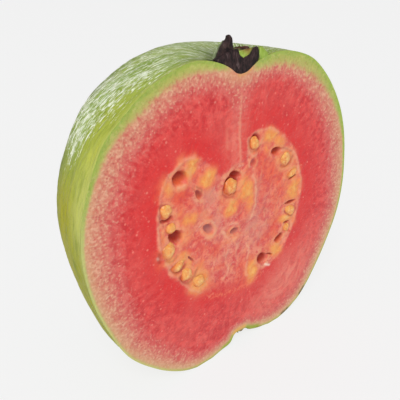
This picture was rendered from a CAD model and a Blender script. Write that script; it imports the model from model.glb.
"""Half of a pink guava, cut lengthwise: the fine surface, the finishes, the light and the camera.

Outline points and places on the cut face are in millimetres, measured right from the fruit's axis and
up from the table, and depths are millimetres behind the cut. They become metres when a mesh is made.
"""
import bpy
import math
import numpy as np
import random
from types import SimpleNamespace
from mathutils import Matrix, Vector, noise


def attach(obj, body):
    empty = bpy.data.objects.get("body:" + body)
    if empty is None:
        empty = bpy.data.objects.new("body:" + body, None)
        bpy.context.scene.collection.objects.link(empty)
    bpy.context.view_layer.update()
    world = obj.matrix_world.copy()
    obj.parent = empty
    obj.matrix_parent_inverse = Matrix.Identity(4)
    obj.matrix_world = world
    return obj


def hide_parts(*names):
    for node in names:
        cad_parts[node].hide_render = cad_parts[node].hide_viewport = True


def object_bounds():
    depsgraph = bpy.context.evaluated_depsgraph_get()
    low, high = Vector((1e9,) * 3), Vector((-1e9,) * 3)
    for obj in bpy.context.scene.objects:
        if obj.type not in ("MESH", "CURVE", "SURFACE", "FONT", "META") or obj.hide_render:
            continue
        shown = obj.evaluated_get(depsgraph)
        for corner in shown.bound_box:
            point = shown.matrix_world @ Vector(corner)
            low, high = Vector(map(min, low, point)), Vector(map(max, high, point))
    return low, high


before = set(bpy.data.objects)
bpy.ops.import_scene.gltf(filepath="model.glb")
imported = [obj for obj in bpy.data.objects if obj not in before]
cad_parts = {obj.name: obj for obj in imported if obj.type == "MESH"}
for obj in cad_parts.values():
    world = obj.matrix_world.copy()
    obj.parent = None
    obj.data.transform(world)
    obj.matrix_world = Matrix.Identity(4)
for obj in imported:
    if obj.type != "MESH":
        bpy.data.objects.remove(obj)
cad_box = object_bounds()

# What moves a place in mm (right of the axis, behind the cut, up) to its place in the frame
TO_FRAME = (1.0, -19.47, 0.0)

# The cut fruit's outline, from the bottom of the calyx pit down to the stem pit. Points under the
# table are lifted onto it.
LEFT_OUTLINE = [
    (-1.3, 71.1), (-2.6, 71.5), (-4.2, 72.7), (-6.1, 73.75), (-8.6, 74.7), (-10.6, 75.2), (-13.5, 75.5),
    (-17.8, 74.8), (-24.1, 72.2), (-29.8, 68.1), (-34.0, 64.0), (-37.2, 57.4), (-39.3, 51.0), (-40.1, 43.0),
    (-39.0, 33.9), (-36.4, 25.0), (-31.7, 14.7), (-24.6, 6.8), (-18.4, 2.2), (-13.6, 0.2), (-9.6, -0.3),
    (-6.4, 0.4), (-4.4, 0.85), (-2.8, 1.05), (-1.8, 1.5), (-1.2, 2.3), (-0.8, 3.1), (0.0, 3.65),
    (0.9, 3.65)]
RIGHT_OUTLINE = [
    (-1.3, 71.1), (0.4, 71.3), (2.2, 72.3), (3.9, 73.1), (6.8, 73.7), (10.6, 73.9), (16.1, 72.8),
    (21.7, 70.2), (27.7, 64.6), (32.7, 57.4), (35.8, 50.0), (37.5, 42.0), (38.1, 34.0), (36.9, 25.6),
    (33.1, 16.4), (28.9, 9.2), (26.2, 5.6), (24.0, 3.4), (22.0, 2.2), (20.1, 1.2), (17.3, 0.3),
    (14.0, -0.3), (11.0, 0.35), (8.0, 1.0), (5.6, 1.85), (4.4, 2.5), (3.7, 3.2), (2.9, 3.5), (2.2, 3.15),
    (1.6, 3.25), (0.9, 3.65)]
FACE_CENTRE = (-1.0, 38.0)
DOME_DEPTH_RATIO = 1.02

# How finely curves and meshes are divided: between two given points of a smooth curve, down the
# outline, round the dome, out across the face, along a stroke, round the core, and along a sepal
# and round it
CURVE_STEPS = 24
OUTLINE_STEPS = 300
DOME_STEPS = 290
FACE_RINGS = 150
STROKE_STEPS = 12
CORE_STEPS = 220
BLADE_STEPS = 10
BLADE_SIDES = 12

# How the stem end spreads at the back, and the dome is ribbed and swells, as in the solid
FOOT_SPREAD = 0.42
FOOT_SPREAD_HEIGHT = 35.0
FOOT_DROP = 0.7
RIB_COUNT = 7
RIB_HEIGHT = 0.3
SHOULDER_SWELL = 8.2
CROWN_RISE = 1.7
SHOULDER_TOP = 74.5
SHOULDER_DROP = 20.5
FLANK_SWELL = 0.9
FLANK_HEIGHT = 18.0
FLANK_SPAN = 9.0
FADE_REACH = 20.0

# The sheet of skin that the wrinkles are drawn on, in mm round and along, how much they are drawn out
# lengthwise, and how deep their waves and creases go
SKIN_RADIUS = 39
SKIN_LENGTH = 118
WRINKLE_STRETCH = 0.3
WAVE_DEPTH = 0.12
CREASE_DEPTH = 0.13

# Dark skin in the two pits: how dark and how far out, and for the calyx pit two corners on its left,
# each with its place right and behind the cut, its reach both ways, and how dark it is
CALYX_PIT_DARKNESS = 0.75
CALYX_PIT_REACH = 7.6
CALYX_PIT_CORNERS = [(-8.2, 1.0, 2.3, 1.2, 0.95), (-11.0, 1.4, 4.0, 1.3, 0.3)]
STEM_PIT_DARKNESS = 0.5
STEM_PIT_REACH = 2.5

# How wide the green rind and the tan flesh under it are, by the way out from the face's middle in
# degrees clockwise from the top
RIND_WIDTHS = [
    (-180, 0.35, 3.6), (-164, 0.35, 5.4), (-150, 0.35, 7.5), (-120, 0.35, 9.0), (-90, 0.45, 10.5),
    (-62, 1.1, 10.0), (-38, 2.6, 8.5), (-18, 2.3, 6.5), (-2, 0.3, 5.5), (14, 2.6, 4.5), (34, 3.2, 6.5),
    (52, 1.9, 8.0), (75, 0.7, 9.0), (90, 0.5, 8.5), (120, 0.3, 7.0), (150, 0.35, 6.0), (166, 0.35, 4.4),
    (180, 0.35, 3.6)]

# The wedge of tan flesh under the calyx: its middle, its half width, and what each mm up adds to that
WEDGE_MIDDLE = -1.4
WEDGE_WIDTH = 2.1
WEDGE_FLARE = 0.09

# How far drawn marks and hollows waver, how far the flesh may stand out of the cut, and the radius
# that its fibres are laid out on
SHAKE = 0.22
HOLLOW_SHAKE = 0.1
PROUD_MOST = 0.28
SPOKE_REACH = 38

# The seedy core's edge on the cut face, all round
CORE_OUTLINE = [
    (-14.5, 56.6), (-18.5, 55.4), (-21.2, 52.0), (-22.6, 47.4), (-22.8, 41.4), (-22.4, 36.4), (-20.6, 32.4),
    (-18.0, 28.6), (-14.6, 25.0), (-11.4, 22.6), (-7.0, 22.0), (-2.0, 20.6), (2.6, 19.4), (5.0, 18.4),
    (8.0, 19.8), (11.4, 20.4), (15.0, 23.0), (17.6, 26.6), (19.2, 30.6), (20.2, 35.0), (20.6, 39.4),
    (19.4, 44.4), (17.8, 48.4), (15.2, 51.8), (11.8, 55.0), (7.6, 57.2), (3.6, 57.6), (1.8, 54.8),
    (2.0, 51.4), (-0.4, 51.6), (-3.6, 51.2), (-6.2, 49.4), (-8.0, 51.4), (-9.6, 53.2), (-11.8, 55.6)]

# Seeds: right of the axis, height, length, width, lean of the top to the right in degrees, and how far
# the hollow round it is shifted right and up
SEEDS = [
    (-20.8, 46.7, 3.5, 3.0, -20, -0.2, -0.4), (-19.7, 42.3, 2.4, 2.8, 0, 0.0, 0.0),
    (-20.3, 37.0, 4.0, 3.7, 20, 0.1, -0.1), (-17.8, 32.4, 3.9, 2.9, 60, 0.0, -0.4),
    (-15.8, 29.2, 3.6, 3.2, 0, 0.1, -0.5), (-12.3, 25.8, 3.7, 3.3, -40, 0.1, 0.1),
    (-3.0, 46.5, 3.8, 3.8, 10, 0.2, 0.6), (3.7, 54.9, 3.2, 2.9, 0, 0.2, 0.6),
    (14.2, 48.4, 4.0, 3.6, -60, 0.0, -0.2), (17.0, 43.9, 3.8, 2.4, 82, 0.0, -0.2),
    (17.4, 33.4, 3.9, 2.5, -60, 0.1, 0.2), (16.5, 28.9, 2.5, 2.3, -40, 0.0, 0.1)]

# The seeds' random draw, division, spread of lean in degrees, taper, thickness, how far they stand
# out, and their lumps; then how their pockets compare in size, how deep and how bright those are
SEED_DRAW = 11
SEED_SEGMENTS = 36
SEED_RINGS = 26
SEED_LEAN_SPREAD = 6
SEED_TAPER = 0.12
SEED_THICKNESS = 1.6
SEED_PROUD_LEAST = 0.2
SEED_PROUD_MOST = 0.4
SEED_LUMP_PACE = 1.35
SEED_LUMPS = 0.2
POCKET_SHARE = 1.1
POCKET_DEPTH = 0.2
POCKET_GLOW = 0.85

# How full a hollow's bowl is, and how deep in mm it has to be to be as dark as it gets
BOWL_POWER = 0.8
DARKEST_FROM = 0.4

# Hollows without a seed, and wider ones round a seed: place, length, width and lean as for a seed,
# then how deep each is, how bright its lower side glows and how grey it is
HOLLOWS = [
    (-17.0, 52.8, 4.0, 3.7, -60, 1.2, 1.0, 0.0), (-18.3, 39.7, 4.4, 3.3, -50, 1.3, 0.1, 0.0),
    (-20.6, 44.7, 3.8, 1.6, 85, 0.5, 0.3, 0.0), (-2.9, 47.0, 5.6, 4.8, 18, 0.8, 0.6, 0.0),
    (-1.8, 48.9, 4.0, 2.1, -68, 1.2, 0.1, 0.0), (-9.4, 38.3, 3.6, 2.3, -50, 0.7, 0.6, 0.9),
    (-1.5, 34.7, 3.0, 1.8, -75, 0.6, 0.7, 0.7), (3.8, 55.6, 3.8, 3.3, 0, 0.6, 0.8, 0.0),
    (3.4, 50.5, 2.2, 2.0, 0, 0.25, 0.6, 0.2), (10.9, 51.2, 3.6, 2.1, -80, 0.9, 0.5, 0.0),
    (17.3, 42.6, 3.4, 0.7, 76, 0.5, 0.6, 0.0), (17.3, 35.8, 4.2, 1.1, 90, 0.7, 0.5, 0.1),
    (16.5, 30.4, 2.8, 0.7, -88, 0.5, 0.7, 0.0), (14.1, 26.7, 3.6, 2.3, 75, 1.0, 0.5, 0.0),
    (8.3, 23.0, 4.2, 3.1, -50, 1.3, 0.15, 0.0), (10.9, 23.2, 3.0, 0.6, -65, 0.4, 0.4, 0.0),
    (-12.2, 47.6, 3.2, 1.4, -25, 0.5, 0.9, 0.2), (-14.4, 32.6, 3.2, 0.6, -40, 0.4, 0.5, 0.3)]

# How fast patches fade out, and by which power of the distance
PATCH_FADE = 0.6
PATCH_POWER = 2.2

# Patches of orange pulp in the core: place, reach along and across, lean, and strength
ORANGE_PULP = [
    (-14.3, 54.4, 2.2, 1.8, 0, 1.0), (-20.2, 51.4, 2.8, 1.4, -15, 0.7), (-9.8, 50.6, 1.7, 2.3, -50, 1.05),
    (-17.2, 56.0, 1.0, 2.2, -60, 0.55), (-16.8, 50.6, 0.8, 1.6, 0, 0.6), (-14.8, 42.6, 1.7, 2.5, 0, 0.8),
    (-21.7, 41.0, 2.6, 0.9, 0, 0.6), (-16.0, 39.2, 2.6, 1.8, 0, 0.55), (-17.4, 45.2, 1.4, 1.6, 0, 0.5),
    (-20.0, 34.6, 1.2, 2.2, 0, 0.75), (-16.6, 34.0, 1.4, 1.7, 30, 0.85), (-15.0, 31.6, 1.4, 1.1, 0, 0.8),
    (-18.4, 30.6, 1.4, 1.0, -30, 0.6), (-12.6, 29.2, 1.6, 2.6, -20, 0.65),
    (-12.3, 25.7, 3.2, 2.7, -20, 1.0), (-9.0, 36.0, 1.0, 1.8, 0, 0.5), (-9.4, 40.6, 1.0, 1.6, 0, 0.45),
    (-11.6, 43.2, 2.0, 1.8, 0, 0.35), (-0.8, 43.8, 1.6, 2.4, 20, 0.65), (1.8, 44.2, 2.6, 1.9, 0, 1.0),
    (1.0, 46.4, 1.6, 1.6, 0, 0.75), (-3.0, 40.6, 1.7, 1.7, 0, 1.0), (-2.4, 42.2, 1.3, 1.8, 0, 0.9),
    (3.2, 41.4, 2.6, 1.3, 0, 0.75), (-3.4, 34.8, 1.6, 1.0, 0, 0.5), (-1.2, 32.8, 0.8, 2.2, 0, 0.5),
    (4.0, 52.8, 0.8, 1.6, 0, 0.55), (8.4, 55.6, 1.6, 2.4, 20, 0.95), (11.4, 53.6, 2.8, 1.5, -45, 0.75),
    (7.8, 52.8, 2.0, 0.9, 10, 0.6), (14.2, 48.4, 2.9, 2.7, -60, 0.75), (17.4, 46.6, 2.2, 1.0, -20, 0.5),
    (17.0, 43.9, 1.6, 2.3, 0, 0.9), (18.2, 39.0, 3.0, 2.2, 5, 0.95), (15.6, 40.4, 2.6, 1.4, 0, 0.45),
    (16.4, 37.6, 1.2, 2.0, 0, 0.6), (15.7, 31.8, 1.2, 2.3, 10, 1.05), (18.8, 30.6, 2.2, 1.0, -20, 0.55),
    (16.5, 28.9, 1.7, 1.7, 0, 0.6), (12.0, 28.6, 1.4, 1.6, 0, 0.4), (13.0, 23.6, 1.8, 2.4, 30, 0.95),
    (10.6, 25.8, 1.0, 1.6, 0, 0.5), (4.7, 20.9, 3.0, 1.9, 0, 1.0), (4.4, 24.6, 1.6, 0.9, 0, 0.5),
    (12.4, 34.8, 2.0, 1.4, 0, 0.35)]

# Patches of deeper red in and round the core, in the same form
RED_PULP = [
    (-17.2, 48.7, 2.2, 2.8, 0, 1.0), (-13.2, 52.0, 1.5, 1.8, 0, 0.7), (-12.0, 50.0, 1.2, 1.0, 0, 0.5),
    (-14.4, 46.2, 1.4, 2.0, 0, 0.55), (-4.8, 45.4, 2.2, 1.2, 30, 0.9), (-3.0, 43.8, 0.8, 1.8, 80, 0.9),
    (0.0, 42.4, 1.4, 1.6, 0, 0.7), (1.4, 38.6, 2.6, 1.4, 0, 0.45), (6.0, 51.0, 1.8, 2.0, 0, 0.8),
    (7.0, 48.4, 3.0, 2.4, 0, 0.85), (9.4, 46.2, 4.0, 3.0, 0, 0.85), (12.4, 45.0, 3.4, 2.0, 0, 0.9),
    (13.2, 41.0, 3.4, 1.6, 0, 0.7), (11.4, 38.4, 2.6, 1.6, 0, 0.6), (2.0, 48.2, 2.4, 1.4, 0, 0.7),
    (-14.0, 37.2, 1.2, 3.4, 0, 0.6), (-11.0, 33.4, 1.4, 4.0, 0, 0.5), (-7.2, 31.8, 1.6, 1.8, 0, 0.75),
    (-6.0, 26.8, 0.6, 2.2, 0, 0.7), (-18.6, 44.4, 0.8, 1.6, 0, 0.6), (-23.0, 36.2, 2.2, 1.0, 0, 0.9),
    (12.0, 32.0, 3.0, 1.6, 0, 0.6), (1.6, 22.6, 3.4, 1.8, 0, 0.7), (-8.6, 22.8, 1.2, 2.4, 0, 0.6),
    (9.4, 28.4, 2.0, 2.0, 0, 0.5), (-22.6, 50.6, 2.4, 0.8, 0, 0.6)]

# Greyed patches in the middle of the core, in the same form
GREY_PULP = [
    (-9.4, 46.4, 3.0, 2.4, 0, 0.75), (-11.8, 43.6, 1.6, 1.8, 0, 0.4), (3.4, 35.0, 2.6, 4.4, 0, 0.9),
    (6.4, 40.4, 3.6, 2.0, -10, 0.7), (6.0, 44.6, 2.4, 1.6, 0, 0.45), (-6.8, 38.8, 3.0, 2.0, 0, 0.7),
    (-5.4, 35.4, 2.0, 2.0, 0, 0.5), (6.4, 30.8, 2.6, 3.4, 0, 0.75), (-9.0, 24.8, 0.9, 0.9, 0, 1.0),
    (0.4, 30.4, 2.6, 2.0, 0, 0.6), (-4.4, 29.0, 2.0, 2.4, 0, 0.4)]

# Strokes on the cut face, each with its half width and strength: brown ones beside the seeds, pale
# ones where membranes and strands show, two wet glints, and a speckled arc under the core
BROWN_STROKES = [
    ([(-22.3, 48.0), (-21.6, 48.3), (-20.8, 47.9)], 0.4, 0.5), ([(-22.6, 46.2), (-22.0, 44.8)], 0.3, 0.5),
    ([(-19.6, 32.2), (-18.6, 30.8), (-16.9, 30.8), (-15.9, 31.7)], 0.4, 0.8),
    ([(-17.6, 29.2), (-16.8, 27.4), (-15.2, 26.6), (-13.9, 27.4), (-13.0, 29.2)], 0.4, 0.6),
    ([(-21.0, 34.9), (-19.4, 34.2), (-18.2, 35.0)], 0.35, 0.45), ([(-22.8, 37.4), (-22.8, 35.4)], 0.4, 0.7),
    ([(-5.4, 46.6), (-5.0, 45.0), (-3.2, 43.9), (-1.6, 44.8)], 0.35, 0.6),
    ([(2.1, 56.2), (2.1, 54.8), (3.0, 53.2), (4.6, 53.0), (5.6, 54.0)], 0.28, 0.5),
    ([(12.9, 46.9), (14.2, 46.5), (15.6, 46.9), (16.7, 48.2)], 0.4, 0.6),
    ([(12.4, 51.4), (14.2, 50.9), (15.8, 49.9)], 0.3, 0.5),
    ([(15.4, 33.9), (17.0, 32.2), (18.4, 31.8)], 0.3, 0.7),
    ([(18.4, 31.8), (19.4, 32.6), (19.4, 34.4)], 0.25, 0.5),
    ([(17.7, 29.9), (17.9, 28.6), (17.2, 27.7)], 0.25, 0.5),
    ([(-12.6, 49.4), (-11.7, 48.4), (-11.6, 46.8)], 0.25, 0.6), ([(-13.5, 49.2), (-12.9, 48.2)], 0.25, 0.4),
    ([(-19.4, 43.9), (-21.2, 43.4)], 0.25, 0.35), ([(8.0, 37.6), (8.6, 36.4)], 0.4, 0.3)]
PALE_STROKES = [
    ([(-0.8, 67.0), (-1.0, 61.0), (-0.9, 56.0), (-0.6, 52.0)], 0.35, 0.45),
    ([(-4.6, 60.0), (-4.4, 56.0)], 0.4, 0.2), ([(1.7, 56.6), (1.8, 53.6), (2.4, 50.0)], 0.35, 0.4),
    ([(3.6, 47.4), (4.6, 44.6), (4.9, 41.4), (4.6, 38.4), (3.4, 36.0)], 0.35, 0.75),
    ([(1.6, 56.0), (2.0, 53.6), (3.0, 52.2), (4.6, 52.2)], 0.25, 0.5),
    ([(5.6, 57.6), (8.4, 57.3), (11.0, 55.8)], 0.3, 0.5),
    ([(12.0, 50.8), (14.4, 50.9), (17.0, 49.2)], 0.3, 0.6),
    ([(17.4, 48.6), (18.9, 45.4), (20.2, 41.4), (20.5, 37.4)], 0.28, 0.5),
    ([(18.0, 30.4), (18.6, 28.0), (17.0, 25.6)], 0.3, 0.4), ([(-17.4, 50.9), (-16.0, 51.0)], 0.4, 0.8),
    ([(-22.6, 47.6), (-22.9, 42.4), (-22.7, 38.6)], 0.35, 0.6), ([(-21.2, 34.4), (-19.4, 31.4)], 0.4, 0.5),
    ([(-18.2, 55.2), (-16.4, 56.5), (-13.6, 56.7)], 0.45, 0.5), ([(-21.4, 52.4), (-22.4, 49.0)], 0.3, 0.4),
    ([(-17.6, 28.0), (-15.2, 25.2), (-12.6, 23.0)], 0.3, 0.5),
    ([(-5.4, 36.2), (-4.2, 34.4), (-3.0, 33.0)], 0.4, 0.7),
    ([(-4.4, 36.6), (-2.6, 37.0), (-0.6, 36.4)], 0.35, 0.5), ([(-0.4, 33.0), (-2.6, 32.4)], 0.4, 0.6),
    ([(-11.4, 40.0), (-9.6, 40.6), (-7.6, 39.0)], 0.4, 0.5),
    ([(-10.6, 36.4), (-8.6, 35.9), (-7.4, 36.8)], 0.4, 0.6),
    ([(-3.6, 30.0), (-4.0, 27.0), (-3.0, 24.6), (-4.6, 22.6)], 0.3, 0.5),
    ([(-0.6, 31.0), (-1.0, 27.6)], 0.3, 0.35),
    ([(2.6, 30.0), (3.4, 26.6), (2.8, 23.4), (2.8, 20.4)], 0.35, 0.5),
    ([(-7.0, 29.4), (-8.4, 26.8)], 0.3, 0.3), ([(6.4, 48.4), (6.0, 45.4)], 0.3, 0.3),
    ([(8.4, 37.0), (8.2, 35.0)], 0.3, 0.4), ([(-13.6, 47.4), (-12.6, 45.8)], 0.4, 0.5),
    ([(-8.0, 47.4), (-6.4, 44.6)], 0.3, 0.3)]
GLINT_STROKES = [([(9.6, 20.6), (11.1, 19.8)], 0.28, 0.9), ([(-23.3, 36.5), (-23.1, 36.2)], 0.3, 0.4)]
SPECKLED_STROKES = [([(-10.0, 20.2), (-5.0, 18.4), (0.0, 17.5), (4.0, 17.4), (8.0, 18.6)], 0.7, 0.8)]

# Strokes at the two ends: green rind on both sides of the stem pit, yellow rims of that pit and under
# the calyx, and brown scabs along the bottom rim
LEAFY_STROKES = [
    ([(4.2, 3.3), (5.0, 2.8), (6.4, 2.1), (8.2, 1.4)], 0.7, 1.0),
    ([(-1.2, 3.0), (-1.8, 2.0), (-3.0, 1.5), (-4.4, 1.2)], 0.45, 0.9)]
YOLK_STROKES = [
    ([(3.4, 4.1), (2.0, 4.3), (0.6, 4.3), (-0.6, 3.9)], 0.5, 0.9),
    ([(-2.0, 71.0), (-1.3, 70.8), (0.4, 71.0), (1.8, 71.7)], 0.28, 0.5)]
SCAB_STROKES = [
    ([(24.6, 4.1), (25.4, 4.9), (26.1, 5.7)], 0.5, 1.0),
    ([(19.8, 1.2), (18.8, 0.9), (17.6, 0.6)], 0.5, 1.0), ([(1.6, 3.3), (2.3, 3.2)], 0.35, 1.0),
    ([(3.7, 3.0), (4.4, 2.4)], 0.3, 0.9), ([(9.0, 0.8), (7.4, 1.2)], 0.2, 0.6)]

# The dried calyx in the cut face, from its root in the pit out over the rim and down into its cup
CALYX_LEFT = [
    (-1.3, 71.15), (-2.6, 71.55), (-4.2, 72.75), (-6.1, 73.8), (-7.8, 74.5), (-7.0, 75.1), (-6.0, 75.6),
    (-4.8, 76.0), (-3.4, 76.3), (-2.4, 76.2), (-2.1, 75.5), (-1.7, 74.8), (-0.8, 74.35)]
CALYX_RIGHT = [
    (-1.3, 71.15), (0.4, 71.35), (2.1, 72.3), (3.3, 73.2), (3.5, 74.6), (3.2, 75.6), (2.8, 75.95),
    (2.1, 75.9), (1.5, 75.2), (0.8, 74.6), (-0.8, 74.35)]
CALYX_DEPTH_RATIO = 0.92
CALYX_RIM = 75.95
RIM_DROP = 1.1
RIM_DROP_FROM = 73.5
CALYX_STEPS = 48
CALYX_VOXEL = 0.12
CALYX_FOLD_DEPTH = 0.14

# Sepals, a papery sheath behind the left one and a strand along the rim: points along the middle
# (right, behind the cut, up), each with its width, thickness and the way that its broad side faces,
# in degrees round from +X
LEFT_SEPAL = [
    ((-4.4, 1.5, 74.2), 4.8, 2.8, 90), ((-4.05, 1.5, 76.2), 3.5, 2.1, 90),
    ((-3.8, 1.5, 77.3), 2.6, 1.6, 90), ((-3.5, 1.5, 78.0), 1.8, 1.2, 90), ((-3.7, 1.5, 78.5), 1.5, 1.2, 90),
    ((-3.7, 1.5, 78.85), 0.8, 0.7, 90)]
SHEATH = [
    ((-6.3, 2.4, 74.2), 1.4, 0.7, 35), ((-5.5, 2.4, 76.1), 1.1, 0.6, 35), ((-4.1, 2.2, 77.7), 0.7, 0.5, 35)]
BACK_SEPAL = [
    ((1.6, 3.6, 73.8), 4.8, 1.5, 60), ((2.1, 3.9, 74.7), 4.4, 1.1, 60), ((2.6, 4.1, 75.3), 2.8, 0.8, 60)]
RIGHT_SEPAL = [
    ((5.4, 1.5, 72.0), 5.4, 2.0, 90), ((5.1, 0.95, 73.4), 4.6, 2.0, 90), ((4.7, 0.8, 74.6), 3.0, 1.6, 90),
    ((4.3, 0.8, 75.5), 1.6, 1.1, 90)]
RIM_STRAND = [
    ((-1.2, 2.2, 75.9), 0.7, 0.8, 0), ((0.3, 2.9, 75.75), 0.6, 0.7, 0), ((1.9, 2.6, 75.65), 0.6, 0.6, 0),
    ((3.6, 1.2, 75.7), 0.7, 0.7, 0)]

# The view: a 50 mm lens that looks down at the cut face from its left
LENS = 50.0
VIEW_AZIMUTH = -40.0
VIEW_ELEVATION = 28.0
VIEW_DISTANCE = 115.86
VIEW_TARGET = (-12.0, 0.0, 46.4)

# Lamps by name: place, size, power and tint. They point at the fruit's middle.
LAMPS = [
    ("key", (-0.35, -0.35, 0.60), 0.30, 3.6, (1.0, 0.99, 0.97)),
    ("back_left", (-0.45, 0.25, 0.45), 0.2, 0.2, (1.0, 1.0, 1.0))]
LAMP_TARGET = (0.0, 0.0, 0.04)
STUDIO_GLOW = 0.45

# How far the floor reaches, and how much it glows, so that it stays an even pale grey
FLOOR_REACH = 4.0
FLOOR_GLOW = 0.805


class Channel:
    """A socket, with the sums that finishes are written in for those that carry a number."""

    def __init__(self, finish, socket):
        self.finish = finish
        self.socket = socket

    def math(self, operation, first, second):
        return self.finish.node("ShaderNodeMath", {"operation": operation}, {0: first, 1: second})

    def __add__(self, other):
        return self.math("ADD", self, other)

    def __radd__(self, other):
        return self.math("ADD", other, self)

    def __sub__(self, other):
        return self.math("SUBTRACT", self, other)

    def __rsub__(self, other):
        return self.math("SUBTRACT", other, self)

    def __mul__(self, other):
        return self.math("MULTIPLY", self, other)

    def __rmul__(self, other):
        return self.math("MULTIPLY", other, self)

    def step(self, low, high, start=0.0, end=1.0):
        """Goes smoothly from start to end as the number goes from low to high."""
        return self.finish.node("ShaderNodeMapRange", {"interpolation_type": "SMOOTHSTEP"},
                                {"Value": self, "From Min": low, "From Max": high, "To Min": start,
                                 "To Max": end})


class Finish:
    """A material whose look is written out as expressions."""

    def __init__(self, name):
        self.material = bpy.data.materials.new(name)
        self.material.use_nodes = True
        self.tree = self.material.node_tree
        self.shader = self.tree.nodes["Principled BSDF"]

    def node(self, kind, settings=None, values=None, output=0):
        made = self.tree.nodes.new(kind)
        for key, value in (settings or {}).items():
            setattr(made, key, value)
        for key, value in (values or {}).items():
            self.feed(made.inputs[key], value)
        return Channel(self, made.outputs[output])

    def feed(self, socket, value):
        if isinstance(value, Channel):
            self.tree.links.new(value.socket, socket)
        else:
            socket.default_value = value

    def fields(self, names):
        """The numbers of these names that the mesh carries at each of its points."""
        kind = "ShaderNodeAttribute"
        return SimpleNamespace(**{name: self.node(kind, {"attribute_name": name}, output="Fac")
                                  for name in names.split()})

    def place(self, x, y, z):
        return self.node("ShaderNodeCombineXYZ", None, {"X": x, "Y": y, "Z": z})

    def where(self):
        """The place on the object, in millimetres."""
        here = self.node("ShaderNodeTexCoord", output="Object")
        return self.node("ShaderNodeVectorMath", {"operation": "SCALE"}, {0: here, "Scale": 1000.0})

    def stretched(self, vector, stretch):
        return self.node("ShaderNodeVectorMath", {"operation": "MULTIPLY"}, {0: vector, 1: stretch})

    def noise(self, vector, size, detail=3.0, roughness=0.55, distortion=0.0):
        return self.node("ShaderNodeTexNoise", None,
                         {"Vector": vector, "Scale": 1.0 / size, "Detail": detail,
                          "Roughness": roughness, "Distortion": distortion}, "Fac")

    def cells(self, vector, size):
        """How far each place is from the nearest of many scattered points."""
        return self.node("ShaderNodeTexVoronoi", None, {"Vector": vector, "Scale": 1.0 / size}, "Distance")

    def mix(self, share, first, second):
        """A colour that goes from the first to the second, each a socket or screen values."""
        ends = [end if isinstance(end, Channel) else colour(*end) for end in (first, second)]
        return self.node("ShaderNodeMix", {"data_type": "RGBA", "clamp_factor": True},
                         {"Factor": share, 6: ends[0], 7: ends[1]}, 2)

    def layers(self, base, listed):
        """The base with colours laid over it in turn, each by its share."""
        for share, tint in listed:
            base = self.mix(share, base, tint)
        return base

    def bump(self, height, distance, strength, under=None):
        values = {"Height": height, "Distance": distance, "Strength": strength}
        if under is not None:
            values["Normal"] = under
        return self.node("ShaderNodeBump", None, values)

    def set(self, **values):
        for key, value in values.items():
            self.feed(self.shader.inputs[key.replace("_", " ")], value)


def colour(red, green, blue):
    """A colour read as screen values from 0 to 255, as the shader wants it."""
    def linear(value):
        value /= 255
        return value / 12.92 if value <= 0.04045 else ((value + 0.055) / 1.055) ** 2.4
    return (linear(red), linear(green), linear(blue), 1.0)


def smooth(value, low, high):
    """0 at the low end and 1 at the high end, with no corner at either."""
    share = np.clip((value - low) / (high - low), 0, 1)
    return share * share * (3 - 2 * share)


def smooth_curve(points, count, closed=False):
    """count + 1 points evenly spaced along a smooth curve through the given ones."""
    if closed:
        padded = [points[-1], *points, points[0], points[1]]
    else:
        padded = [points[0], *points, points[-1]]
    padded = np.array(padded, float)
    fine = []
    for before, start, end, after in zip(padded, padded[1:], padded[2:], padded[3:]):
        for step in range(CURVE_STEPS):
            t = step / CURVE_STEPS
            fine.append(0.5 * (2 * start + (end - before) * t
                               + (2 * before - 5 * start + 4 * end - after) * t ** 2
                               + (3 * start - before - 3 * end + after) * t ** 3))
    fine.append(padded[-2])
    fine = np.array(fine)
    length = np.concatenate([[0], np.cumsum(np.linalg.norm(np.diff(fine, axis=0), axis=1))])
    even = np.linspace(0, length[-1], count + 1)
    return np.stack([np.interp(even, length, fine[:, k]) for k in range(fine.shape[1])], axis=1)


def distance_to(places, line):
    """How far each place is from a line of points."""
    nearest = np.full(len(places), np.inf)
    for start, end in zip(line, line[1:]):
        along = end - start
        share = np.clip((places - start) @ along / (along @ along), 0, 1)
        gap = places - start - share[:, None] * along
        nearest = np.minimum(nearest, np.einsum("ij,ij->i", gap, gap))
    return np.sqrt(nearest)


def inside(places, line):
    """Whether each place is inside a closed line of points."""
    crossings = np.zeros(len(places), int)
    x, z = places.T
    for (x0, z0), (x1, z1) in zip(line, line[1:]):
        spans = (z0 > z) != (z1 > z)
        if z0 != z1:
            crossings += spans & (x < x0 + (z - z0) * (x1 - x0) / (z1 - z0))
    return crossings % 2 == 1


def spot(places, x, z, along, across, lean):
    """How far each place is from a leaning oval's middle: 1 on the oval itself."""
    tilt = math.radians(lean)
    right = places[:, 0] - x
    up = places[:, 1] - z
    u = right * math.sin(tilt) + up * math.cos(tilt)
    v = right * math.cos(tilt) - up * math.sin(tilt)
    return np.sqrt((u / along) ** 2 + (v / across) ** 2)


def patches(places, listed):
    """How strongly each place lies in any of the leaning ovals, which fade out at their edges."""
    total = np.zeros(len(places))
    for x, z, along, across, lean, strength in listed:
        out = spot(places, x, z, along, across, lean)
        total = np.maximum(total, strength * np.exp(-PATCH_FADE * out ** PATCH_POWER))
    return total


def strokes(places, listed):
    """How close each place is to any of the lines drawn: 1 on a full-strength line."""
    total = np.zeros(len(places))
    for line, half_width, strength in listed:
        curve = smooth_curve(line, STROKE_STEPS)
        margin = 3 * half_width
        low = curve.min(axis=0) - margin
        high = curve.max(axis=0) + margin
        near = np.all((places > low) & (places < high), axis=1)
        gap = distance_to(places[near], curve)
        total[near] = np.maximum(total[near], strength * np.exp(-(gap / half_width) ** 2))
    return total


def noise_at(points, size, octaves, seed):
    """Fractal noise from about -1 to 1 at each of the points."""
    shift = Vector((seed * 17.3, seed * 9.1, seed * 5.7))
    return np.array([noise.fractal(Vector(p) / size + shift, 1.0, 2.0, octaves) for p in points])


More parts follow.
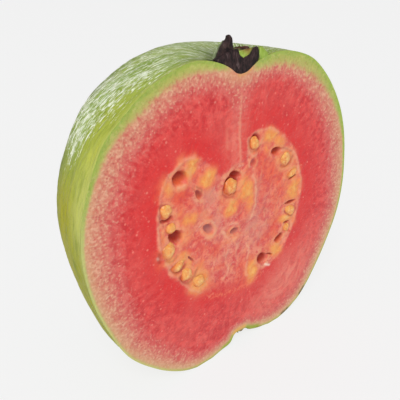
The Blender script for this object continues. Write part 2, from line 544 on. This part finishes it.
def write_fields(mesh, fields):
    for name, values in fields.items():
        field = mesh.attributes.new(name, "FLOAT", "POINT")
        field.data.foreach_set("value", np.asarray(values, np.float32))


def put(name, data):
    made = bpy.data.objects.new(name, data)
    bpy.context.scene.collection.objects.link(made)
    return made


def piece(name, points, faces, finish, node, fields):
    """A mesh from points in mm (right of the axis, behind the cut, up), placed in the frame."""
    placed = np.clip((np.array(points) + TO_FRAME) / 1000, *np.array(cad_box))
    mesh = bpy.data.meshes.new(name)
    mesh.from_pydata(placed.tolist(), [], faces)
    write_fields(mesh, fields)
    mesh.validate()
    mesh.shade_smooth()
    mesh.materials.append(finish)
    made = put(name, mesh)
    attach(made, "root")
    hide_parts(node)
    return made


def fruit_shape(reach, height, angle):
    """Ribs and swells the dome, spreads the hidden back of the stem end, keeps it all on the table."""
    sideness = np.sin(angle)
    backness = sideness ** 4
    leftness = np.sqrt(np.maximum(0, -np.cos(angle))) * np.minimum(1, 3 * sideness)
    spread = np.maximum(0, 1 - height / FOOT_SPREAD_HEIGHT) ** 3
    fall = np.clip((SHOULDER_TOP - height) / SHOULDER_DROP, 0, 1)
    fade = np.minimum(1, reach / FADE_REACH)
    reach = reach * (1 + FOOT_SPREAD * spread * backness)
    reach = reach - RIB_HEIGHT * sideness * np.sin(RIB_COUNT * angle) ** 2 * fade
    reach = reach + SHOULDER_SWELL * fall * (1 - fall) ** 2 * backness * fade ** 2
    reach = reach + FLANK_SWELL * leftness * np.exp(-((height - FLANK_HEIGHT) / FLANK_SPAN) ** 2)
    crown = (1 - fall) ** 2 * sideness ** 2 * (1 - np.cos(angle)) / 2 * fade
    height = height + CROWN_RISE * crown - FOOT_DROP * spread * backness
    return reach, np.maximum(0, height)


def turned_half(left, right, rings, meridians, depth_ratio, shape):
    """Points of half a turned solid, as an array [meridian, ring, (x, depth, z)]."""
    left_curve = smooth_curve(left, rings)
    right_curve = smooth_curve(right, rings)
    angle = np.linspace(0, math.pi, meridians + 1)[:, None]
    rightness = (1 + np.cos(angle)) / 2
    axis_x = np.linspace(left[0][0], left[-1][0], rings + 1)[None, :]
    reach = (right_curve[:, 0] - axis_x) * rightness + (axis_x - left_curve[:, 0]) * (1 - rightness)
    height = right_curve[:, 1] * rightness + left_curve[:, 1] * (1 - rightness)
    reach, height = shape(reach, height, angle)
    depth = depth_ratio * reach * np.sin(angle)
    depth[[0, -1]] = 0
    return np.stack([axis_x + reach * np.cos(angle), depth, height], axis=2)


def sheet_faces(rows, columns):
    return [(r * columns + c, r * columns + c + 1, (r + 1) * columns + c + 1, (r + 1) * columns + c)
            for r in range(rows - 1) for c in range(columns - 1)]


def ring_faces(first, rings, count):
    """Faces between closed rings of count points each, which are listed from first on."""
    faces = []
    for a in range(first, first + (rings - 1) * count, count):
        b = a + count
        faces += [(a + k, b + k, b + (k + 1) % count, a + (k + 1) % count) for k in range(count)]
    return faces


def skin_finish():
    """Olive skin, cooler on the shoulder, with fine pale streaks where its wrinkles catch light."""
    finish = Finish("skin")
    at = finish.fields("around along height edge pit crease")
    lengthwise = finish.place(at.around, at.along * 0.22, 0.0)
    crinkled = finish.place(at.around, at.along * 0.3, 0.0)
    streak = finish.noise(lengthwise, 1.2, 4.0, 0.65, 0.4)
    broad = finish.noise(lengthwise, 8.0, 2.0)
    wrinkle = finish.noise(crinkled, 0.45, 3.0, 0.6, 1.0)
    fold = finish.noise(crinkled, 1.7, 3.0, 0.55, 0.6)
    pores = finish.cells(finish.place(at.around, at.along, 0.0), 1.3)

    # Green to olive down the fruit, duller at the back and yellower towards the cut
    olive = finish.mix(broad.step(0.35, 0.65), (140, 144, 12), (166, 162, 24))
    cool = finish.mix(broad.step(0.35, 0.65), (136, 162, 64), (158, 178, 86))
    sunny = at.edge.step(10.0, 4.0) * at.height.step(54.0, 62.0) * at.height.step(76.0, 67.0)
    band = at.height.step(70.0, 54.0, 0.1, 0.9) * at.height.step(38.0, 52.0, 0.15, 1.0)
    base = finish.layers(finish.mix(at.height.step(48.0, 66.0), olive, cool), [
        (at.edge.step(12.0, 22.0) * 0.9, (104, 122, 30)),
        (sunny * 0.6, (168, 172, 40)),
        (at.edge.step(8.0, 1.0) * band, (196, 200, 104)),
        (streak.step(0.5, 0.32) * 0.45, (108, 126, 28)),
        (streak.step(0.55, 0.72) * 0.35, (188, 188, 66)),
        (pores.step(0.14, 0.06) * 0.3, (188, 190, 90))])

    # Pale streaks on the shoulder, further from the cut the lower they are
    bloom = (at.height - at.edge * 0.2 + (broad - 0.5) * 14.0).step(50.0, 60.0)
    bloom = bloom * (at.edge + (at.height - 66.0) * 0.55 + (broad - 0.5) * 8.0).step(0.0, 8.0)
    bloom = bloom * at.edge.step(30.0, 20.0, 0.25, 1.0) * at.height.step(73.0, 64.0, 0.85, 1.0)
    wrinkled = wrinkle * 0.7 + fold * 0.3 + at.crease * 0.05
    pale = (wrinkled + bloom * 0.13).step(0.62, 0.71) * bloom.step(0.0, 0.4)
    base = finish.layers(base, [
        (pale * 0.9, (242, 247, 226)),
        (at.edge.step(1.1, 0.2) * 0.6, (180, 186, 96)),
        (at.pit, (36, 48, 22))])
    folds = finish.bump(fold, 0.0007, 0.8, finish.bump(wrinkle, 0.0003, 0.8))
    finish.set(Base_Color=base, Roughness=wrinkle.step(0.3, 0.7, 0.4, 0.54), Normal=folds,
               Subsurface_Weight=0.06, Subsurface_Scale=0.002, Subsurface_Radius=(0.6, 1.0, 0.3),
               Specular_IOR_Level=0.1)
    return finish.material


def red_flesh(finish, at, grain):
    """Red flesh, richest round the core, with pale fibres towards the rind and scattered dots."""
    outer = at.rind.step(16.0, 6.0)
    red = finish.mix(grain.crumb.step(0.34, 0.66), (202, 42, 46), (232, 82, 78))
    red = finish.layers(red, [
        (grain.mottle.step(0.5, 0.34) * 0.5, (192, 34, 42)),
        (grain.mottle.step(0.52, 0.68) * 0.45, (232, 104, 94)),
        (at.rich * grain.mottle.step(0.2, 0.5, 0.5, 0.9), (220, 40, 40)),
        (grain.fibre.step(0.48, 0.7) * outer * 0.35, (238, 116, 104)),
        (grain.fibre.step(0.46, 0.3) * outer * 0.2, (188, 44, 48)),
        (grain.broad.step(0.45, 0.7) * 0.3, (228, 98, 88)),
        (grain.bead.step(0.58, 0.78) * 0.4, (244, 136, 122)),
        (grain.dots.step(0.17, 0.06) * 0.5, (244, 152, 134))])

    skewed = finish.place(at.rind, at.side * 0.35, at.rise * 0.35)
    rimwise = finish.noise(skewed, 1.9, 3.0, 0.55, 1.2)
    return finish.layers(red, [
        (at.salmon * (rimwise.step(0.35, 0.65) * 0.5 + 0.3), (238, 138, 118)),
        (at.speckled * grain.bead.step(0.4, 0.6), (238, 118, 86))])


def rim_of_flesh(finish, at, grain, body):
    """The band of tan flesh and the green rind over the red flesh, frayed into each other."""
    rough = (grain.bead - 0.5) * 0.55 + (grain.crumb - 0.5) * 0.5 + (grain.fibre - 0.5) * 0.35
    tan = at.tan + rough * at.tan.step(0.0, 0.3)
    pink = finish.mix(grain.crumb.step(0.35, 0.65), (208, 84, 80), (222, 112, 102))
    straw = finish.mix(grain.bead.step(0.3, 0.7), (206, 134, 106), (224, 168, 138))
    body = finish.mix(tan.step(0.08, 0.65), body, pink)
    body = finish.mix(tan.step(0.5, 1.15), body, straw)
    edging = at.tan.step(0.15, 0.5)
    body = finish.layers(body, [
        (grain.fleck.step(0.26, 0.1) * edging * 0.55, (184, 74, 68)),
        (grain.fibre.step(0.48, 0.34) * edging * 0.35, (192, 78, 74)),
        (grain.bead.step(0.55, 0.72) * edging * 0.5, (234, 178, 148))])

    covered = 1 - at.bare
    cream = (at.rind + rough * 1.5).step(2.8, 0.5) * covered * 0.4
    body = finish.layers(body, [
        (cream, (214, 190, 136)),
        (at.rind.step(1.0, 0.3) * covered * 0.55, (192, 194, 112))])

    inward = (at.rind + grain.bead * 0.8).step(0.4, 2.4)
    leaf = finish.mix(inward, (160, 182, 76), (182, 178, 96))
    leaf = finish.layers(leaf, [
        (grain.crumb.step(0.5, 0.7) * 0.5, (206, 200, 124)),
        (grain.bead.step(0.5, 0.35) * 0.4, (136, 158, 56)),
        (at.low * 0.6, (176, 160, 82)),
        (at.chalky * 0.75, (206, 204, 128))])
    fuzzy = at.green + rough * 1.1 * at.green.step(0.0, 0.2)
    body = finish.mix(fuzzy.step(0.1, 0.95), body, leaf)
    scraped = at.bare * (at.rind + rough * 2.0).step(2.4, 0.4)
    return finish.layers(body, [
        (scraped * 0.6, (222, 156, 118)),
        (at.yolk, (226, 168, 82)),
        (at.leafy * grain.bead.step(0.1, 0.5), (150, 168, 48))])


def seedy_core(finish, at, grain, body):
    """The paler core over the red flesh: salmon, greyed, deep red and orange pulp."""
    salmon = finish.mix(grain.crumb.step(0.38, 0.62), (216, 84, 80), (238, 142, 116))
    salmon = finish.layers(salmon, [
        (grain.bead.step(0.5, 0.75) * 0.6, (244, 180, 158)),
        (at.dull * grain.mottle.step(0.2, 0.7), (214, 134, 118))])
    body = finish.mix(at.core * grain.mottle.step(0.1, 0.6, 0.7, 1.0), body, salmon)
    ember = finish.mix(grain.crumb.step(0.3, 0.7), (218, 66, 54), (236, 100, 68))
    pulp = at.core * (1 - at.dull * 0.6)
    body = finish.layers(body, [
        (pulp * grain.mottle.step(0.5, 0.36) * 0.6, (218, 76, 70)),
        (pulp * grain.mottle.step(0.54, 0.7) * 0.45, (240, 152, 104))])
    body = finish.mix(at.ember * grain.crumb.step(0.1, 0.5), body, ember)
    amber = finish.mix(grain.crumb.step(0.3, 0.7), (236, 142, 68), (242, 168, 90))
    body = finish.mix(at.orange.step(0.05, 0.65) * 0.85, body, (236, 124, 84))
    body = finish.mix((at.orange + (grain.crumb - 0.5) * 0.35).step(0.35, 0.95), body, amber)
    ripest = (at.orange + (grain.crumb - 0.5) * 0.5).step(0.85, 1.15)
    return finish.layers(body, [
        (ripest * 0.6, (246, 202, 126)),
        (at.halo * grain.crumb.step(0.25, 0.6) * 0.5, (238, 164, 116)),
        (at.pale * grain.crumb.step(0.15, 0.55), (238, 172, 138))])


def hollows_and_marks(finish, at, grain, body):
    """Hollows that are dark on top and glow below, brown edges, scabs and wet glints."""
    shade = finish.mix(at.grey, (160, 38, 24), (168, 98, 96))
    lit = finish.mix(at.grey, (222, 96, 54), (206, 132, 114))
    hollow = finish.mix(at.glow, shade, lit)
    body = finish.mix((at.hollow + (grain.crumb - 0.5) * 0.3).step(0.0, 0.8), body, hollow)
    return finish.layers(body, [
        (at.brown * 0.85, (158, 50, 34)),
        (at.scab * grain.bead.step(0.25, 0.5), (92, 66, 36)),
        (at.glint, (246, 222, 202))])


def flesh_finish():
    """The cut face: wet, finely beaded flesh from the rind to the core."""
    finish = Finish("flesh")
    place = finish.where()
    at = finish.fields("rind green low chalky tan bare salmon side rise rich core orange ember dull halo "
                       "pale hollow glow grey brown glint leafy yolk speckled scab")
    spoke = finish.place(at.side, at.rise, at.rind * 0.22)
    grain = SimpleNamespace(
        fibre=finish.noise(spoke, 1.1, 4.0, 0.6, 0.3),
        bead=finish.noise(place, 0.6, 2.0, 0.55),
        crumb=finish.noise(place, 1.5, 3.0, 0.6, 0.3),
        mottle=finish.noise(place, 3.4, 3.0, 0.55, 0.5),
        broad=finish.noise(place, 10.0, 2.0),
        dots=finish.cells(place, 2.2),
        fleck=finish.cells(finish.stretched(place, (1.0, 1.0, 1.15)), 1.2))
    body = red_flesh(finish, at, grain)
    body = rim_of_flesh(finish, at, grain, body)
    body = seedy_core(finish, at, grain, body)
    body = hollows_and_marks(finish, at, grain, body)
    lumps = finish.bump(grain.crumb, 0.0005, 0.4, finish.bump(grain.bead, 0.0003, 0.5))
    finish.set(Base_Color=body, Roughness=grain.crumb.step(0.3, 0.7, 0.36, 0.52), Normal=lumps,
               Subsurface_Weight=0.12, Subsurface_Scale=0.001, Subsurface_Radius=(1.0, 0.25, 0.15),
               Specular_IOR_Level=0.3)
    return finish.material


def seed_finish():
    """Glossy yellow seeds with cream patches, orange round their lower edges."""
    finish = Finish("seed")
    at = finish.fields("tone rim")
    mottle = finish.noise(finish.where(), 0.9, 3.0, 0.6, 0.4)
    body = finish.mix(mottle.step(0.32, 0.68), (230, 136, 62), (244, 184, 100))
    edging = (at.rim + (mottle - 0.5) * 0.6).step(0.45, 0.95)
    body = finish.layers(body, [
        (at.tone * 0.5, (240, 170, 88)),
        (mottle.step(0.52, 0.66) * at.rim.step(0.6, 0.2) * 0.6, (248, 210, 140)),
        (edging * 0.9, (214, 96, 44))])
    finish.set(Base_Color=body, Roughness=mottle.step(0.3, 0.7, 0.25, 0.4), Subsurface_Weight=0.2,
               Subsurface_Scale=0.0012, Subsurface_Radius=(1.0, 0.5, 0.2), Coat_Weight=0.2,
               Coat_Roughness=0.15, Normal=finish.bump(mottle, 0.0004, 0.8))
    return finish.material


def sepal_finish():
    """Dry, blackish brown sepals, still green inside the cup and papery behind the left one."""
    finish = Finish("dried_sepal")
    place = finish.where()
    at = finish.fields("fresh tanned papery lip")
    fold = finish.noise(finish.stretched(place, (1.0, 1.0, 0.4)), 0.6, 4.0, 0.6, 0.5)
    blotch = finish.noise(place, 2.0, 2.0)
    dry = finish.mix(fold.step(0.35, 0.7), (24, 17, 18), (66, 48, 48))
    dry = finish.layers(dry, [
        (blotch.step(0.55, 0.75) * 0.3, (86, 70, 58)),
        (fold.step(0.6, 0.74) * 0.5, (124, 108, 108))])
    leaf = finish.mix(fold.step(0.3, 0.75), (140, 168, 62), (174, 198, 98))
    leaf = finish.mix(at.tanned, leaf, (146, 110, 60))
    sheath = finish.mix(fold.step(0.35, 0.7), (112, 122, 88), (166, 178, 138))
    body = finish.mix(at.papery, dry, sheath)
    body = finish.mix(at.fresh, body, leaf)
    body = finish.mix(at.lip, body, (96, 48, 34))
    finish.set(Base_Color=body, Roughness=fold.step(0.3, 0.7, 0.5, 0.75),
               Normal=finish.bump(fold, 0.0005, 0.8), Specular_IOR_Level=0.15)
    return finish.material


def floor_finish():
    """A pale floor that glows a little, so that it stays even round the fruit."""
    finish = Finish("floor")
    cloud = finish.noise(finish.where(), 300.0, 2.0)
    finish.set(Base_Color=finish.mix(cloud, (80, 80, 80), (83, 83, 83)), Roughness=0.9,
               Emission_Color=colour(255, 255, 255), Emission_Strength=FLOOR_GLOW)
    return finish.material


def pit_shade(points, edge):
    """How dark the skin is in the pits at its two ends, darkest left of the calyx beside the cut."""
    x, depth, z = points.T
    upper = z > FACE_CENTRE[1]
    out = np.hypot(x - LEFT_OUTLINE[0][0], depth)
    shade = CALYX_PIT_DARKNESS * np.exp(-(out / CALYX_PIT_REACH) ** 4)
    for corner_x, corner_edge, long, deep, strength in CALYX_PIT_CORNERS:
        corner = ((x - corner_x) / long) ** 2 + ((edge - corner_edge) / deep) ** 2
        shade = np.maximum(shade, strength * np.exp(-corner))
    shade *= upper * (1 - smooth(x, 2.0, 3.5) * smooth(-edge, -2.5, -1.5))
    out = np.hypot(x - LEFT_OUTLINE[-1][0], depth)
    stem = STEM_PIT_DARKNESS * np.exp(-(out / STEM_PIT_REACH) ** 2)
    return np.maximum(shade, stem * ~upper)


def build_skin(finish):
    """The dome of skin, wrinkled lengthwise, from the cut edge on the right round to the left."""
    grid = turned_half(LEFT_OUTLINE, RIGHT_OUTLINE, OUTLINE_STEPS, DOME_STEPS, DOME_DEPTH_RATIO,
                       fruit_shape)
    rows, columns = grid.shape[:2]
    around = np.repeat(np.linspace(0, math.pi, rows), columns) * SKIN_RADIUS
    along = np.tile(np.linspace(0, SKIN_LENGTH, columns), rows)
    points = grid.reshape(-1, 3)
    edge = points[:, 1]
    height = points[:, 2]
    stretched = np.stack([around, along * WRINKLE_STRETCH, np.zeros(len(points))], axis=1)
    waves = noise_at(stretched, size=4.5, octaves=2, seed=1)
    creases = 1 - 2 * np.abs(noise_at(stretched, size=2.1, octaves=3, seed=2))
    sunk = WAVE_DEPTH * (waves + 1) + CREASE_DEPTH * (1 - creases)
    sunk *= smooth(edge, 0.0, 1.6) * smooth(height, 0.0, 3.0) * smooth(along, 0.0, 9.0)
    inward = points * (0, 0, 1) + (FACE_CENTRE[0], 0, 0) - points
    inward /= np.maximum(np.linalg.norm(inward, axis=1), 1e-6)[:, None]
    points = points + inward * sunk[:, None]
    fields = {"around": around, "along": along, "height": points[:, 2], "edge": edge,
              "pit": pit_shade(points, edge), "crease": creases}
    faces = [face[::-1] for face in sheet_faces(rows, columns)]
    return piece("skin", points, faces, finish, "half_fruit", fields)


def face_outline():
    """The cut face's outline, clockwise from the top, as the skin's two edges have it."""
    left = smooth_curve(LEFT_OUTLINE, OUTLINE_STEPS)
    right = smooth_curve(RIGHT_OUTLINE, OUTLINE_STEPS)
    loop = np.concatenate([right[:-1], left[:0:-1]])
    loop[:, 1] = np.maximum(0, loop[:, 1])
    return loop


def hollow_fields(places):
    """How far hollows and pockets sink, how deep a place is in its own, its glow, greyness and rim."""
    made = {name: np.zeros(len(places)) for name in ("depth", "hollow", "glow", "grey", "halo")}
    listed = list(HOLLOWS)
    for x, z, length, width, lean, right, up in SEEDS:
        listed.append((x + right, z + up, length * POCKET_SHARE, width * POCKET_SHARE, lean,
                       POCKET_DEPTH, POCKET_GLOW, 0.0))
    for x, z, length, width, lean, deep, glow, grey in listed:
        near = spot(places, x, z, length / 2, width / 2, lean)
        bowl = np.maximum(0, 1 - near ** 2) ** BOWL_POWER
        lowness = smooth((z - places[:, 1]) * 4 / (length + width), -0.5, 0.9)
        made["depth"] = np.maximum(made["depth"], deep * bowl)
        bowl *= min(1, deep / DARKEST_FROM)
        deeper = bowl > made["hollow"]
        made["glow"] = np.where(deeper, glow * lowness, made["glow"])
        made["grey"] = np.where(deeper, grey, made["grey"])
        made["hollow"] = np.maximum(made["hollow"], bowl)
        made["halo"] = np.maximum(made["halo"], np.exp(-((near - 1.3) / 0.3) ** 2))
    return made


def rim_fields(places, rind, rough):
    """Where the rind is green, low or chalky, and the flesh under it tan, bare or salmon."""
    x, z = places.T
    right = x - FACE_CENTRE[0]
    up = z - FACE_CENTRE[1]
    way = np.degrees(np.arctan2(right, up))
    widths = np.array(RIND_WIDTHS)
    thickness = np.interp(way, widths[:, 0], widths[:, 1])
    reach = np.interp(way, widths[:, 0], widths[:, 2])
    depth_in = np.maximum(0, rind - thickness * 0.7)
    tan = 1 - smooth(depth_in, 0.1 * reach, 1.15 * reach)
    wedge_width = WEDGE_WIDTH + WEDGE_FLARE * np.maximum(0, z - 50)
    wedge = np.exp(-((x - WEDGE_MIDDLE + 0.8 * rough) / wedge_width) ** 2)
    tan = np.maximum(tan, wedge * smooth(z, 54, 70) * 0.7)
    bare = np.exp(-((x + 1.2) / 4.0) ** 4) * smooth(z, 66, 70)
    salmon = np.exp(-spot(places, 19, 13, 15, 7, 60) ** 2) * smooth(rind, 0.5, 2.0)
    salmon = np.maximum(salmon, 0.8 * np.exp(-spot(places, -1.6, 55.5, 9, 3.2, 0) ** 2))
    out = np.maximum(np.hypot(right, up), 1e-6)
    return {"rind": rind, "green": (1 - smooth(rind, 0.3 * thickness, 1.7 * thickness)) * (1 - bare),
            "tan": tan, "bare": bare, "salmon": salmon, "low": smooth(-z, -40, -16),
            "chalky": smooth(-x, 12, 26) * smooth(-z, -58, -44),
            "side": right / out * SPOKE_REACH, "rise": up / out * SPOKE_REACH}


def core_fields(places, rough):
    """The seedy core, the rich red round it, and the ridge along its edge."""
    x, z = places.T
    line = smooth_curve(CORE_OUTLINE, CORE_STEPS, closed=True)
    gap = distance_to(places, line) * np.where(inside(places, line), 1, -1)
    softness = 0.7 + 2.6 * smooth(-z, -30, -20) * smooth(x, -13, -7) * smooth(-x, -4, 0)
    core = smooth(gap + 0.7 * rough, -softness, softness)
    arcs = smooth(np.abs(x - FACE_CENTRE[0]), 6, 12)
    return {"core": core, "rich": np.exp(-(np.maximum(0, -gap - 1) / 6) ** 2) * (1 - core),
            "ridge": np.exp(-((gap + 0.3 * rough) / 0.4) ** 2) * arcs}


def build_flesh(finish):
    """The cut face: rings of points from its middle out to the skin, sunk and raised as it is."""
    loop = face_outline()
    centre = np.array(FACE_CENTRE)
    share = np.linspace(0, 1, FACE_RINGS + 1)[1:]
    rings = centre + (loop[None] - centre) * share[:, None, None]
    count = len(loop)
    places = np.concatenate([[centre], rings.reshape(-1, 2)])
    flat = np.column_stack([places, np.zeros(len(places))])
    rough = noise_at(flat, size=2.4, octaves=3, seed=3)
    fine = noise_at(flat, size=0.8, octaves=2, seed=4)
    shaken = places + SHAKE * np.stack([rough, noise_at(flat, size=2.0, octaves=2, seed=5)], axis=1)
    rind = distance_to(places, np.concatenate([loop, loop[:1]]))

    fields = hollow_fields(places + HOLLOW_SHAKE * np.stack([rough, fine], axis=1))
    fields.update(rim_fields(places, rind, rough))
    fields.update(core_fields(places, rough))
    core = fields["core"]
    ridge = fields.pop("ridge")
    strands = strokes(shaken, PALE_STROKES)
    fields.update({
        "pale": np.maximum(strands, ridge * smooth(fine + rough, -0.4, 0.6) * 0.28),
        "brown": strokes(shaken, BROWN_STROKES), "glint": strokes(places, GLINT_STROKES),
        "orange": patches(places + 2.5 * (shaken - places), ORANGE_PULP),
        "ember": patches(shaken, RED_PULP), "dull": patches(shaken, GREY_PULP),
        "leafy": strokes(places, LEAFY_STROKES), "yolk": strokes(places, YOLK_STROKES),
        "speckled": strokes(places, SPECKLED_STROKES), "scab": strokes(places, SCAB_STROKES)})
    fields["halo"] *= core

    surface = 0.12 * smooth(rind, 0.0, 0.8) + 0.05 * fine + 0.04 * rough
    surface += core * (0.1 + 0.14 * rough) - 0.12 * ridge - 0.12 * strands
    surface += 0.2 * fields["brown"] - 0.22 * fields["orange"]
    surface = np.maximum(surface, -PROUD_MOST) * smooth(rind, 0.0, 0.5) + fields.pop("depth")
    points = np.stack([places[:, 0], surface, places[:, 1]], axis=1)
    faces = [(0, 1 + k, 1 + (k + 1) % count) for k in range(count)]
    faces += ring_faces(1, FACE_RINGS, count)
    return piece("flesh", points, faces, finish, "half_fruit", fields)


def build_seeds(finish):
    """Seeds that lie in their pockets, each a flattened egg, a little lumpy with pulp."""
    draw = random.Random(SEED_DRAW)
    points = []
    faces = []
    fields = {"tone": [], "rim": []}
    for x, z, length, width, lean, *_ in SEEDS:
        tilt = math.radians(lean + draw.uniform(-SEED_LEAN_SPREAD, SEED_LEAN_SPREAD))
        out = draw.uniform(SEED_PROUD_LEAST, SEED_PROUD_MOST)
        tone = draw.random()
        first = len(points)
        for ring in range(SEED_RINGS + 1):
            up = math.cos(math.pi * ring / SEED_RINGS)
            reach = math.sin(math.pi * ring / SEED_RINGS) * (1 - SEED_TAPER * up)
            for segment in range(SEED_SEGMENTS):
                turn = 2 * math.pi * segment / SEED_SEGMENTS
                side = reach * math.cos(turn)
                front = reach * math.sin(turn)
                here = Vector((up, side, front)) * SEED_LUMP_PACE
                here.z += first
                bulge = 1 + SEED_LUMPS * noise.noise(here)
                across = side * width / 2 * bulge
                along = up * length / 2 * bulge
                depth = SEED_THICKNESS / 2 - out - front * SEED_THICKNESS / 2 * bulge
                points.append((x + across * math.cos(tilt) + along * math.sin(tilt), depth,
                               z + along * math.cos(tilt) - across * math.sin(tilt)))
                fields["tone"].append(tone)
                downhill = -0.5 * up - 0.35 * side
                fields["rim"].append(math.hypot(up, side) * (0.8 + downhill / 2))
        faces += ring_faces(first, SEED_RINGS + 1, SEED_SEGMENTS)
    return piece("seeds", points, faces, finish, "half_fruit", fields)


def closed_turned_half(grid):
    """Faces of a turned half whose flat side is filled in, for points [meridian, ring]."""
    rows, columns = grid.shape[:2]
    faces = [face[::-1] for face in sheet_faces(rows, columns)]
    last = (rows - 1) * columns
    faces += [(c, c + 1, last + c + 1, last + c) for c in range(columns - 1)]
    return faces


def blade_mesh(stations, first):
    """A tapering solid through flat rings that each face their own way, its points from first on."""
    path = np.array([[*at, width, thick, facing] for at, width, thick, facing in stations], float)
    path = smooth_curve(path, BLADE_STEPS)
    points = []
    for x, y, z, width, thick, facing in path:
        turn = math.radians(facing)
        for side in range(BLADE_SIDES):
            corner = 2 * math.pi * side / BLADE_SIDES
            across = math.cos(corner) * width / 2
            through = math.sin(corner) * thick / 2
            points.append((x - across * math.sin(turn) + through * math.cos(turn),
                           y + across * math.cos(turn) + through * math.sin(turn), z))
    faces = [(a, d, c, b) for a, b, c, d in ring_faces(first, len(path), BLADE_SIDES)]
    last = first + (len(path) - 1) * BLADE_SIDES
    faces.append(tuple(first + side for side in range(BLADE_SIDES))[::-1])
    faces.append(tuple(last + side for side in range(BLADE_SIDES)))
    return points, faces


def calyx_shape(reach, height, angle):
    """Lowers the cup's rim behind the cut face."""
    share = np.clip((height - RIM_DROP_FROM) / (CALYX_RIM - RIM_DROP_FROM), 0, 1)
    return reach, height - RIM_DROP * np.sin(angle) * share


def calyx_fields(places, facing_up, folds):
    """Where the calyx is still green, turns tan, is papery, and has a red-brown lip."""
    x, y, z = places.T
    bowl = np.hypot(x + 0.6, (y - 1.0) * 0.8)
    inner = smooth(facing_up, 0.1, 0.5) * smooth(-bowl, -3.4, -2.6) * smooth(y, 0.2, 0.7)
    inner *= smooth(75.9 - z, 0.0, 0.5) * smooth(x, -2.4, -1.6)
    flap = smooth(x + 0.25 * folds, 3.5, 4.0) * smooth(-y, -2.6, -2.2)
    lip = smooth(x, 0.4, 2.0) * smooth(facing_up, 0.5, 0.8) * smooth(z, 74.8, 75.4)
    return {"fresh": np.maximum(inner, flap), "tanned": inner * smooth(x, 0.0, 1.8) * 0.8,
            "papery": smooth(-x - 0.5 * (76 - z), 2.6, 3.4) * smooth(y, 2.0, 2.4),
            "lip": lip * smooth(y, 0.5, 1.5) * 0.8}


def build_calyx(finish):
    """The dried cup and its sepals, fused into one wrinkled body."""
    grid = turned_half(CALYX_LEFT, CALYX_RIGHT, CALYX_STEPS, CALYX_STEPS, CALYX_DEPTH_RATIO, calyx_shape)
    points = [tuple(p) for p in grid.reshape(-1, 3)]
    faces = closed_turned_half(grid)
    for stations in (LEFT_SEPAL, SHEATH, BACK_SEPAL, RIM_STRAND, RIGHT_SEPAL):
        more, their = blade_mesh(stations, len(points))
        points += more
        faces += their
    made = piece("calyx", points, faces, finish, "dried_calyx", {})
    fuse = made.modifiers.new("fuse", "REMESH")
    fuse.mode = "VOXEL"
    fuse.voxel_size = CALYX_VOXEL / 1000
    bpy.context.view_layer.update()
    fused = bpy.data.meshes.new_from_object(made.evaluated_get(bpy.context.evaluated_depsgraph_get()))
    made.modifiers.clear()
    made.data = fused

    normals = np.array([v.normal for v in fused.vertices])
    here = np.array([v.co for v in fused.vertices]) * 1000 - TO_FRAME
    folds = noise_at(here * (1.0, 1.0, 0.5), size=1.0, octaves=3, seed=6)
    behind = smooth(here[:, 1], 0.1, 0.7)
    moved = here - normals * (CALYX_FOLD_DEPTH * (folds + 0.6) * behind)[:, None]
    fused.vertices.foreach_set("co", ((moved + TO_FRAME) / 1000).astype(np.float32).ravel())
    write_fields(fused, calyx_fields(here, normals[:, 2], folds))
    fused.shade_smooth()
    return made


def build_floor(finish):
    mesh = bpy.data.meshes.new("floor")
    corners = [(-1, -1), (1, -1), (1, 1), (-1, 1)]
    mesh.from_pydata([(x * FLOOR_REACH, y * FLOOR_REACH, 0) for x, y in corners], [], [(0, 1, 2, 3)])
    mesh.materials.append(finish)
    made = put("floor", mesh)


def aim(thing, place, target):
    thing.location = place
    thing.rotation_euler = (Vector(target) - Vector(place)).to_track_quat("-Z", "Y").to_euler()


def build_light():
    for name, place, size, power, tint in LAMPS:
        light = bpy.data.lights.new(name, "AREA")
        light.shape = "DISK"
        light.size = size
        light.energy = power
        light.color = tint
        aim(put(name, light), place, LAMP_TARGET)
    world = bpy.data.worlds.new("studio")
    world.use_nodes = True
    backdrop = world.node_tree.nodes["Background"]
    backdrop.inputs["Color"].default_value = (1.0, 1.0, 1.0, 1.0)
    backdrop.inputs["Strength"].default_value = STUDIO_GLOW
    bpy.context.scene.world = world
    bpy.context.scene.view_settings.view_transform = "Standard"


def build_camera():
    lens = bpy.data.cameras.new("view")
    lens.lens = LENS
    lens.clip_start = 0.005
    camera = put("view", lens)
    target = (Vector(VIEW_TARGET) + Vector(TO_FRAME)) / 1000
    azimuth = math.radians(VIEW_AZIMUTH)
    elevation = math.radians(VIEW_ELEVATION)
    back = Vector((math.sin(azimuth) * math.cos(elevation), -math.cos(azimuth) * math.cos(elevation),
                   math.sin(elevation)))
    aim(camera, target + back * VIEW_DISTANCE / 1000, target)
    bpy.context.scene.camera = camera


build_camera()
build_light()
build_floor(floor_finish())
build_skin(skin_finish())
build_flesh(flesh_finish())
build_seeds(seed_finish())
build_calyx(sepal_finish())
